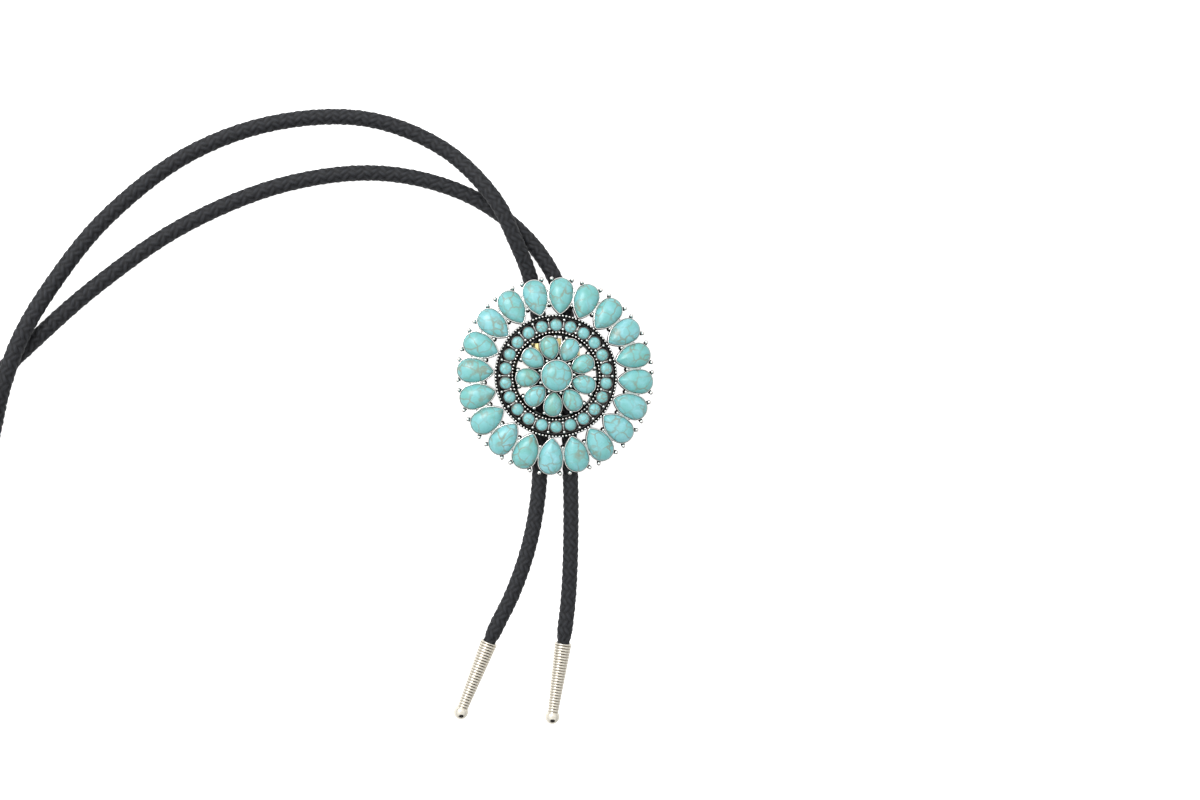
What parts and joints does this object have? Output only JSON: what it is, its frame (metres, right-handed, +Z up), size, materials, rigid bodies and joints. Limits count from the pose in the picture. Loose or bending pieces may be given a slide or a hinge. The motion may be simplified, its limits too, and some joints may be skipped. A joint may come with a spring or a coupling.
{
  "type": "bolo tie",
  "caption": "Bolo tie: round silver slide set with turquoise cabochon petals on a black braided cord that ends in two ribbed metal tips.",
  "frame": {"origin": "on the surface that the tie lies on, straight under the middle of the concho", "axes": "+Z up out of the surface and through the concho's face, +Y towards the neck loop's exit at the top of the concho, -Y towards the free ends and their tips"},
  "size_m": [0.284, 0.217, 0.0146],
  "materials": {
    "antique_silver": "cast silver-tone alloy, oxidised dark in the recesses and bright on the raised points",
    "turquoise_stone": "polished cabochon, light aqua with tan-brown matrix veins",
    "brass_clasp": "pale plated brass",
    "cord_braid": "black braided nylon",
    "tip_metal": "bright warm silver-tone plating with fine ribs"
  },
  "bodies": {
    "root": {"slide_clasp": "brass_clasp", "concho_frame": "antique_silver", "flower_setting": "antique_silver", "centre_stone": "turquoise_stone", "inner_stone_1": "turquoise_stone", "inner_stone_2": "turquoise_stone", "inner_stone_3": "turquoise_stone", "inner_stone_4": "turquoise_stone", "inner_stone_5": "turquoise_stone", "inner_stone_6": "turquoise_stone", "inner_stone_7": "turquoise_stone", "inner_stone_8": "turquoise_stone", "inner_stone_9": "turquoise_stone", "outer_stone_01": "turquoise_stone", "outer_stone_02": "turquoise_stone", "outer_stone_03": "turquoise_stone", "outer_stone_04": "turquoise_stone", "outer_stone_05": "turquoise_stone", "outer_stone_06": "turquoise_stone", "outer_stone_07": "turquoise_stone", "outer_stone_08": "turquoise_stone", "outer_stone_09": "turquoise_stone", "outer_stone_10": "turquoise_stone", "outer_stone_11": "turquoise_stone", "outer_stone_12": "turquoise_stone", "outer_stone_13": "turquoise_stone", "outer_stone_14": "turquoise_stone", "outer_stone_15": "turquoise_stone", "outer_stone_16": "turquoise_stone", "outer_stone_17": "turquoise_stone", "outer_stone_18": "turquoise_stone", "outer_stone_19": "turquoise_stone", "outer_stone_20": "turquoise_stone", "cord": "cord_braid", "tip_left": "tip_metal", "tip_right": "tip_metal"}
  },
  "joints": []
}
